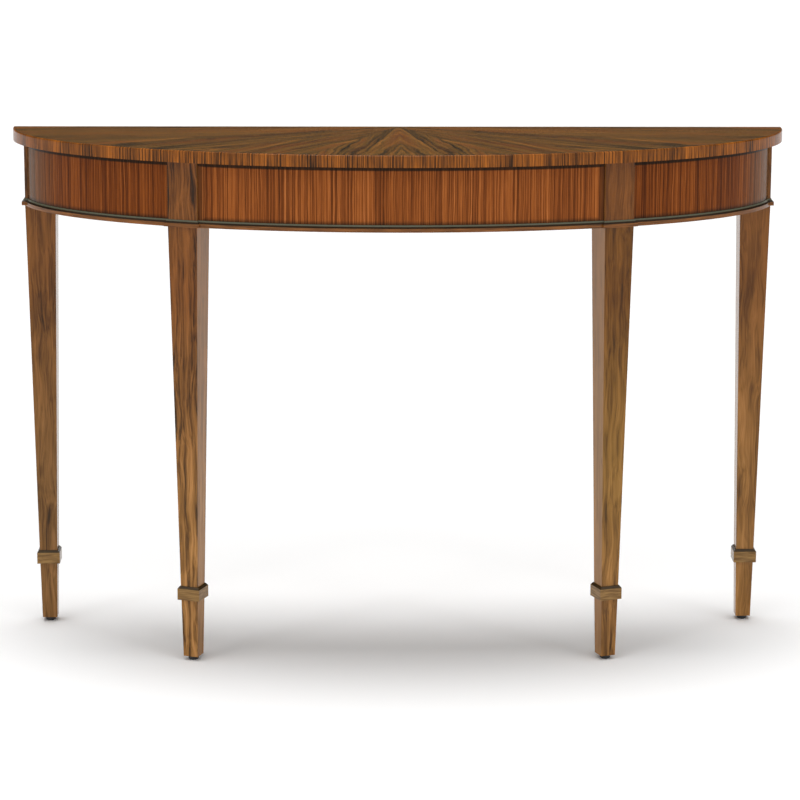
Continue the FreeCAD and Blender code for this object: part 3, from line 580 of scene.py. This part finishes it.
def dress_table():
    """A material on every piece, by the record's slots, and eased edges on the legs. The collars are
    glazed dark on their bevel; the bead has painted shade in its hollow, a painted highlight above."""
    collar_glaze = [(COLLAR_TOP - 4.5 * MM, COLLAR_TOP - 3.5 * MM, 0.85, "241c0e")]
    # The bead's bands are painted light: painted shade in its hollow, a painted grey-green highlight
    # above.
    bead_painted_light = [
        (bead_low.z + 5.5 * MM, bead_low.z + 6.3 * MM, 0.9, "1e180c"),
        (bead_low.z + 8.0 * MM, bead_low.z + 9.2 * MM, 0.75, "6e705c")]
    made = {
        "sunburst_veneer": sunburst_veneer(),
        "edge_veneer": edge_veneer(),
        "striped_veneer": striped_veneer(),
        "leg_wood": leg_wood(),
        "collar_wood": moulding_with_glazing_and_painted_light(
            "stained_collar_strip", "9c7844", "70502a", collar_glaze, along_oval=False),
        "bead_wood": moulding_with_glazing_and_painted_light(
            "stained_bead_moulding", "925a28", "5e3816", bead_painted_light, along_oval=True),
        "secondary_wood": plain_wood("planed_poplar", "8e7048", "b49266", 5 * MM, 160 * MM, "X", 0.65),
        "backing_veneer": plain_wood("backing_veneer", "7f6242", "a1815a", 6 * MM, 220 * MM, "X", 0.6),
        "tenon_beech": plain_wood("planed_beech", "b58e62", "d0ab7e", 2 * MM, 12 * MM, "X", 0.6),
        "apron_lamination": bent_lamination(),
        "top_core_board": pressed_board(),
        "screw_steel": zinc_steel(),
        "glide_nylon": black_nylon(),
    }
    for entry in frame["record"]["subparts"]:
        name, slot = entry["node"], entry["material_slot"]
        piece = nodes[name]
        if slot == "leg_wood":
            piece = ease_edges(name, EASED_EDGE)
        dress(piece, made[slot])


def build_studio():
    """White floor, soft overhead key, wide front fill and the studio around them."""
    floor_size = 120.0
    bpy.ops.mesh.primitive_plane_add(size=floor_size, location=(0, 0, cad_box[0].z))
    floor = bpy.context.object
    floor.name = "studio_floor"
    paper, tree = start_material("white_paper_floor")
    shader = add(tree, "BsdfDiffuse", {"Color": linear("fbfbfb")})
    add(tree, "OutputMaterial", {"Surface": shader})
    dress(floor, paper)
    # Each lamp has its strength, its spread in degrees and the way its light goes.
    for name, strength, spread, direction in (
            ("overhead_key", 1.85, 26, (0.02, -0.04, -1.0)),
            ("left_fill", 0.66, 80, (0.8, 1.0, -0.7)),
            ("right_fill", 0.62, 80, (-0.7, 1.0, -0.7)),
            ("left_glint", 0.13, 9, (0.75, 0.75, -0.9)),
            ("right_glint", 0.13, 9, (-0.75, 0.75, -0.9))):
        lamp = bpy.data.lights.new(name, "SUN")
        lamp.energy = strength
        lamp.angle = math.radians(spread)
        holder = bpy.data.objects.new(name, lamp)
        holder.rotation_mode = "QUATERNION"
        holder.rotation_quaternion = Vector(direction).to_track_quat("-Z", "Y")
        bpy.context.scene.collection.objects.link(holder)
    # The surround is a white sweep that falls off to dark walls, with a pale ceiling above them.
    surround = bpy.data.worlds.new("studio_surround")
    surround.use_nodes = True
    tree = surround.node_tree
    tree.nodes.clear()
    axes = add(tree, "SeparateXYZ", {"Vector": add(tree, "TexCoord").outputs["Generated"]})
    tone = add(tree, "ValToRGB", {"Fac": axes.outputs["Z"]}, stops=[
        (0.0, "ffffff"), (0.095, "363636"), (0.60, "363636"), (0.72, "b8b8b8")])
    glow = add(tree, "Background", {"Color": tone.outputs["Color"], "Strength": 1.0})
    add(tree, "OutputWorld", {"Surface": glow})
    bpy.context.scene.world = surround


def build_camera():
    """The photograph's view, from a fit of the table's edges to the picture, with its turns in radians.
    It looks down at the table without lens shift, so that other views stay centred."""
    place = Vector((-92.0, -4866.6, 1479.8)) * MM
    yaw, pitch, roll = -0.0191, 0.2156, 0.0033
    sensor_width, focal_length = 36, 137.8
    right = Vector((math.cos(yaw), math.sin(yaw), 0))
    level_ahead = Vector((-math.sin(yaw), math.cos(yaw), 0))
    ahead = level_ahead * math.cos(pitch) - Vector((0, 0, math.sin(pitch)))
    up = right.cross(ahead)
    level_right = right * math.cos(roll) + up * math.sin(roll)
    level_up = up * math.cos(roll) - right * math.sin(roll)
    lens = bpy.data.cameras.new("photo_camera")
    lens.sensor_width = sensor_width
    lens.lens = focal_length
    camera = bpy.data.objects.new("photo_camera", lens)
    turn = Matrix((level_right, level_up, -ahead)).transposed()
    camera.matrix_world = Matrix.Translation(place) @ turn.to_4x4()
    bpy.context.scene.collection.objects.link(camera)
    bpy.context.scene.camera = camera


dress_table()
build_studio()
build_camera()
bpy.context.scene.view_settings.view_transform = "Standard"
